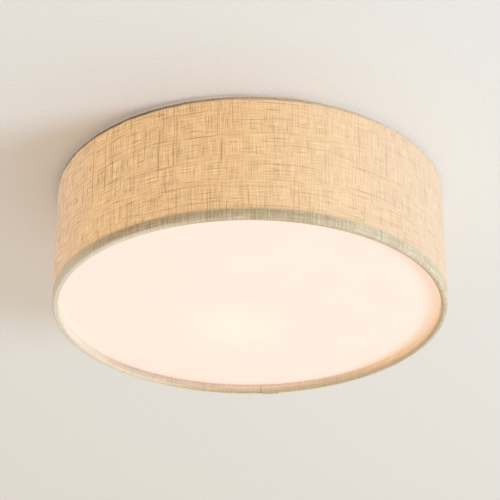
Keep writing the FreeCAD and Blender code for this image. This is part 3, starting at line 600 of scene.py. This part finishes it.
def threaded_caps(material):
    """Screw caps with the rolled threads that the plain solids leave out."""
    for lamp in (1, 2):
        low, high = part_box(f"bulb_cap_{lamp}")
        length = high.x - low.x
        cap_r = (high.z - low.z) / 2
        profile = [
            (0.0, cap_r - 1.9 * MM, 0.0),
            (0.6 * MM, cap_r - 0.9 * MM, 0.0),
            (1.6 * MM, cap_r - 0.2 * MM, 0.5),
            (3.0 * MM, cap_r, 1.0),
            (length - 6.0 * MM, cap_r, 1.0),
            (length - 4.5 * MM, cap_r, 0.0),
            (length, cap_r, 0.0),
        ]
        piece = threaded_sheet(f"threaded_cap_{lamp}", profile, cap_groove, lamp, material)
        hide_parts(f"bulb_cap_{lamp}")
        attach(piece, f"bulb_{lamp}")


def threaded_shells(material):
    """Pressed shells whose shallow threads clear the caps at every angle."""
    for lamp in (1, 2):
        low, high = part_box(f"lampholder_shell_{lamp}")
        start, _, side = lamp_frame(lamp)
        shell_r = (high.z - low.z) / 2
        rear = low.x - start if side == 1 else start - high.x
        front = rear + high.x - low.x
        profile = [
            (rear, shell_r, 0.0),
            (rear + 2.0 * MM, shell_r, 0.0),
            (rear + 4.0 * MM, shell_r, 1.0),
            (front - 2.0 * MM, shell_r, 1.0),
            (front, shell_r, 0.0),
        ]
        piece = threaded_sheet(f"threaded_shell_{lamp}", profile, shell_groove, lamp, material)
        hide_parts(f"lampholder_shell_{lamp}")
        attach(piece, "mount")


# ---------------------------------------------------------------- camera, light and ceiling
def camera():
    data = bpy.data.cameras.new("camera")
    data.lens = camera_lens
    data.sensor_width = camera_sensor
    data.clip_end = 50.0
    below = math.radians(camera_below_deg)
    eye = bpy.data.objects.new("camera", data)
    top = Vector((0, 0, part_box("shade_fabric")[1].z))
    eye.location = top + camera_distance * Vector((0, -math.cos(below), -math.sin(below)))
    eye.rotation_euler = (math.pi / 2 + math.radians(camera_aim_deg), 0, 0)
    bpy.context.scene.collection.objects.link(eye)
    bpy.context.scene.camera = eye


def ceiling():
    """A pale painted ceiling that is seen from below and clear from above, open where the pan covers it."""
    count = 96
    radii = (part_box("ceiling_pan")[1].x - 3 * MM, ceiling_reach)
    points = []
    for k in range(count):
        angle = TURN * k / count
        points += [(r * math.cos(angle), r * math.sin(angle), ceiling_lift) for r in radii]
    faces = [(2 * k, (2 * k + 2) % (2 * count), (2 * k + 3) % (2 * count), 2 * k + 1) for k in range(count)]
    graph = Graph("ceiling_paint")
    spots = graph.noise(graph.place(), 260.0, 3.0)
    graph.set(Base_Color=graph.mix(graph.remap(spots, 0.3, 0.7), rgb(236, 232, 228), rgb(240, 236, 232)))
    graph.set(Roughness=0.9, Specular_IOR_Level=0.1)
    graph.bump(spots, 0.1 * MM, 0.4)
    back = graph.add("ShaderNodeNewGeometry").outputs["Backfacing"]
    clear = graph.add("ShaderNodeBsdfTransparent").outputs[0]
    mixed = graph.add("ShaderNodeMixShader", {0: back, 1: graph.shader.outputs[0], 2: clear})
    graph.put(graph.tree.nodes["Material Output"].inputs["Surface"], mixed.outputs[0])
    mesh_piece("ceiling_plane", points, faces, graph.material)


def room_light():
    """Even warm light from the whole room."""
    world = bpy.data.worlds.new("room")
    bpy.context.scene.world = world
    world.use_nodes = True
    background = world.node_tree.nodes["Background"]
    background.inputs["Color"].default_value = (*room_colour, 1)
    background.inputs["Strength"].default_value = room_strength


def soft_light():
    """A soft cool window on the near right, and a broad faint fill from the far wall."""
    for name, azimuth_deg, below_deg, distance, size, power, colour in soft_lamps:
        data = bpy.data.lights.new(name, "AREA")
        data.shape = "DISK"
        data.size = size
        data.energy = power
        data.color = colour
        azimuth, below = math.radians(azimuth_deg), math.radians(below_deg)
        level = math.cos(below)
        way = Vector((math.cos(azimuth) * level, math.sin(azimuth) * level, -math.sin(below)))
        lamp = bpy.data.objects.new(name, data)
        lamp.location = distance * way
        lamp.rotation_euler = (-way).to_track_quat("-Z", "Y").to_euler()
        bpy.context.scene.collection.objects.link(lamp)


# ---------------------------------------------------------------- materials of the solids
def assign(material, *names):
    """Gives nodes a better material in their own slots."""
    for name in names:
        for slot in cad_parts[name].material_slots:
            slot.material = material


def diffuser_glow(graph, place):
    """The painted light that comes through: two bulbs' bright spots, and painted shade that leaves the rim
    dimmer and warmer on the window's side.
    """
    x, y, _ = graph.parts(place)
    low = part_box("diffuser")[0].z
    radius = graph.distance(place, (0, 0, low))
    glow = rgb(193, 156, 141)
    for spot, colour, share in glow_spots:
        off = graph.calc("DIVIDE", graph.distance(place, (*spot, low)), glow_spot_r)
        bright = graph.calc("EXPONENT", graph.product(off, off, -1.0))
        glow = graph.mix(graph.product(bright, share), glow, rgb(*colour))
    # painted shade: the rim dimmer and warmer towards the window's side
    rim_turn = math.radians(rim_shade_deg)
    towards = graph.calc("ADD", graph.product(x, math.cos(rim_turn)), graph.product(y, math.sin(rim_turn)))
    side = graph.smooth(towards, 0.10, 0.185)
    rim = graph.smooth(radius, 0.160, 0.187)
    return graph.mix(graph.product(side, rim), glow, rgb(188, 150, 116))


def opal_diffuser():
    """Satin opal acrylic, a little mottled, lit from above."""
    graph = Graph("opal_sheet")
    place = graph.place()
    mottle = graph.noise(place, 30.0, 2.0)
    glow = graph.mix(graph.remap(mottle, 0.3, 0.7, 0.0, 0.06), diffuser_glow(graph, place), rgb(120, 110, 96))
    grain = graph.noise(place, 1400.0, 2.0)
    graph.bump(grain, 0.015 * MM, 0.5)
    base = graph.mix(graph.remap(mottle, 0.3, 0.7), rgb(198, 194, 188), rgb(204, 200, 194))
    graph.set(Base_Color=base, Roughness=graph.remap(grain, 0.3, 0.7, 0.34, 0.44), Specular_IOR_Level=0.4)
    graph.set(Emission_Color=glow, Emission_Strength=1.0)
    assign(graph.quiet_glow(), "diffuser")


def laminate():
    """The translucent sheet behind the linen, with a painted glow for the light from inside: barely behind
    the hem, and most at the top.
    """
    graph = Graph("laminating_sheet")
    place = graph.place()
    threads = graph.streaks(place, 900.0, 900.0, 30.0, detail=2.0)
    tint = graph.mix(graph.remap(threads, 0.35, 0.65), rgb(226, 208, 178), rgb(240, 228, 204))
    graph.bump(threads, 0.05 * MM, 0.5)
    low, high = (corner.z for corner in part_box("shade_liner"))
    lit = graph.remap(graph.parts(place)[2], low + 12 * MM, high - 20 * MM, 0.02, 1.0)
    graph.set(Base_Color=tint, Roughness=0.38)
    graph.set(Emission_Color=(0.86, 0.93, 1.0, 1), Emission_Strength=lit)
    assign(graph.quiet_glow(), "shade_liner")


def painted_steel(name, low, high, wear, *nodes):
    """Powder or epoxy coat: fine orange peel, a little uneven gloss, and a few rubbed spots."""
    graph = Graph(name)
    place = graph.place()
    peel = graph.noise(place, 700.0, 3.0)
    broad = graph.noise(place, 45.0, 3.0)
    rubbed = graph.smooth(graph.noise(place, 240.0, 4.0), 0.66, 0.74)
    coat = graph.mix(graph.remap(broad, 0.3, 0.7), low, high)
    coat = graph.mix(graph.product(rubbed, wear), coat, rgb(176, 172, 164))
    graph.bump(peel, 0.05 * MM, 0.6)
    graph.set(Base_Color=coat, Roughness=graph.remap(broad, 0.3, 0.7, 0.36, 0.52), Coat_Weight=0.15)
    assign(graph.material, *nodes)


def plated(name, light, dark, rough, nodes, grain=(900.0, 900.0, 900.0)):
    """Plated metal: brushed or turned streaks, uneven tarnish, and a changing gloss."""
    graph = Graph(name)
    place = graph.place()
    streak = graph.streaks(place, *grain, detail=3.0)
    tarnish = graph.noise(place, 90.0, 4.0, 0.6)
    metal = graph.mix(graph.remap(tarnish, 0.35, 0.7), light, dark)
    metal = graph.mix(graph.remap(streak, 0.3, 0.7, 0.0, 0.25), metal, dark)
    graph.bump(streak, 0.02 * MM, 0.5)
    graph.set(Base_Color=metal, Metallic=1.0, Roughness=graph.remap(streak, 0.3, 0.7, rough, rough + 0.18))
    assign(graph.material, *nodes)
    return graph.material


def moulded(name, low, high, rough, nodes, grain=900.0, depth=0.03, coat=0.0):
    """Moulded plastic, rubber, glaze or glass: a fine grained skin over slightly uneven colour."""
    graph = Graph(name)
    place = graph.place()
    skin = graph.noise(place, grain, 3.0)
    broad = graph.noise(place, 130.0, 2.0)
    colour = graph.mix(graph.remap(broad, 0.3, 0.7), low, high)
    graph.bump(skin, depth * MM, 0.6)
    graph.set(Base_Color=colour, Roughness=graph.remap(skin, 0.3, 0.7, rough, rough + 0.12), Coat_Weight=coat)
    assign(graph.material, *nodes)


def lit_globes():
    """Opal bulb domes, brightest over their chips and a little darker towards the housing."""
    for lamp in (1, 2):
        graph = Graph(f"lit_opal_{lamp}")
        place = graph.place()
        x, _, _ = graph.parts(place)
        low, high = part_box(f"bulb_globe_{lamp}")
        ends = (low.x, high.x) if lamp == 1 else (high.x, low.x)
        frost = graph.noise(place, 500.0, 2.0)
        stops = [(0.0, (0.80, 0.66, 0.46)), (0.35, (1.0, 0.90, 0.72)), (1.0, (0.96, 0.84, 0.64))]
        graph.bump(frost, 0.02 * MM, 0.4)
        glow = graph.ramp(graph.remap(x, *ends), stops)
        graph.set(Base_Color=rgb(244, 240, 232), Roughness=0.30, Emission_Color=glow)
        graph.set(Emission_Strength=graph.remap(frost, 0.3, 0.7, 0.95, 1.1))
        assign(graph.quiet_glow(), f"bulb_globe_{lamp}")


def led_boards():
    """White solder mask with yellow chips that stand up from it."""
    graph = Graph("chip_board")
    place = graph.place()
    x, _, _ = graph.parts(place)
    low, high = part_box("bulb_led_board_1")
    reach = graph.calc("ABSOLUTE", x)
    tip = abs(high.x)
    inward = MM if tip > abs(low.x) else -MM
    chip = graph.smooth(reach, tip - 0.75 * inward, tip - 0.6 * inward)
    mask = graph.noise(place, 800.0, 2.0)
    colour = graph.mix(graph.remap(mask, 0.3, 0.7), rgb(232, 232, 226), rgb(242, 242, 238))
    graph.bump(mask, 0.02 * MM, 0.5)
    graph.set(Base_Color=graph.mix(chip, colour, rgb(232, 190, 60)), Roughness=0.4)
    graph.set(Emission_Color=(1.0, 0.86, 0.55, 1), Emission_Strength=graph.product(chip, 1.5))
    assign(graph.quiet_glow(), "bulb_led_board_1", "bulb_led_board_2")


def pair(*names):
    """Each name for lamp 1 and lamp 2."""
    return [f"{name}_{lamp}" for name in names for lamp in (1, 2)]


def metals():
    """The plated pieces. Returns the metals of the caps and the shells."""
    zinc = ["mounting_strap", "strap_screws", "shade_studs", "bracket_rivets", "lampholder_screws"]
    zinc += ["terminal_block_screw"] + pair("lampholder_bracket")
    plated("zinc_plate", rgb(214, 217, 222), rgb(172, 176, 178), 0.28, zinc, grain=(60.0, 1200.0, 1200.0))
    nuts = ["pan_nuts"] + [f"thumb_nut_{i + 1}" for i in range(arm_count)]
    turned = (300.0, 300.0, 1400.0)
    nickel = plated("nickel_plate", rgb(226, 222, 212), rgb(186, 180, 168), 0.16, nuts, grain=turned)
    brass = ["earth_terminal", "terminal_inserts", "terminal_screws", "lampholder_clamp_screws"]
    brass += pair("lampholder_contact")
    yellow = plated("brass_sheet", rgb(226, 192, 118), rgb(176, 136, 70), 0.22, brass)
    tin = pair("bulb_contact")
    plated("tinned_contact", rgb(206, 206, 208), rgb(150, 150, 152), 0.35, tin, grain=(500.0,) * 3)
    return nickel, yellow


def solids_materials():
    opal_diffuser()
    laminate()
    lit_globes()
    led_boards()
    rings = ("upper_ring_frame", "lower_ring")
    painted_steel("white_powder_coat", rgb(238, 236, 231), rgb(245, 243, 239), 0.25, "ceiling_pan")
    painted_steel("white_epoxy_coat", rgb(232, 229, 221), rgb(242, 240, 233), 0.4, *rings)
    moulded("black_rubber", rgb(38, 38, 39), rgb(52, 52, 53), 0.62, ["cable_grommet"], depth=0.05)
    moulded("milky_nylon", rgb(232, 230, 220), rgb(242, 240, 232), 0.42, ["terminal_block", "lead_clips"])
    moulded("brown_sleeve", rgb(104, 62, 38), rgb(120, 74, 46), 0.34, pair("live_lead"))
    moulded("blue_sleeve", rgb(44, 92, 158), rgb(56, 108, 176), 0.34, pair("neutral_lead"))
    glaze = pair("lampholder")
    moulded("glazed_ceramic", rgb(238, 235, 226), rgb(247, 245, 239), 0.10, glaze, grain=220.0, coat=0.6)
    moulded("bulb_housing", rgb(240, 240, 238), rgb(246, 246, 245), 0.30, pair("bulb_body"), depth=0.015)
    moulded("black_vitrite", rgb(18, 18, 20), rgb(30, 30, 33), 0.12, pair("bulb_insulator"), grain=400.0)


# ---------------------------------------------------------------- the scene
camera()
ceiling()
room_light()
soft_light()
linen_shade()
solids_materials()
cap_metal, shell_metal = metals()
threaded_caps(cap_metal)
threaded_shells(shell_metal)
bpy.context.scene.view_settings.view_transform = "Standard"
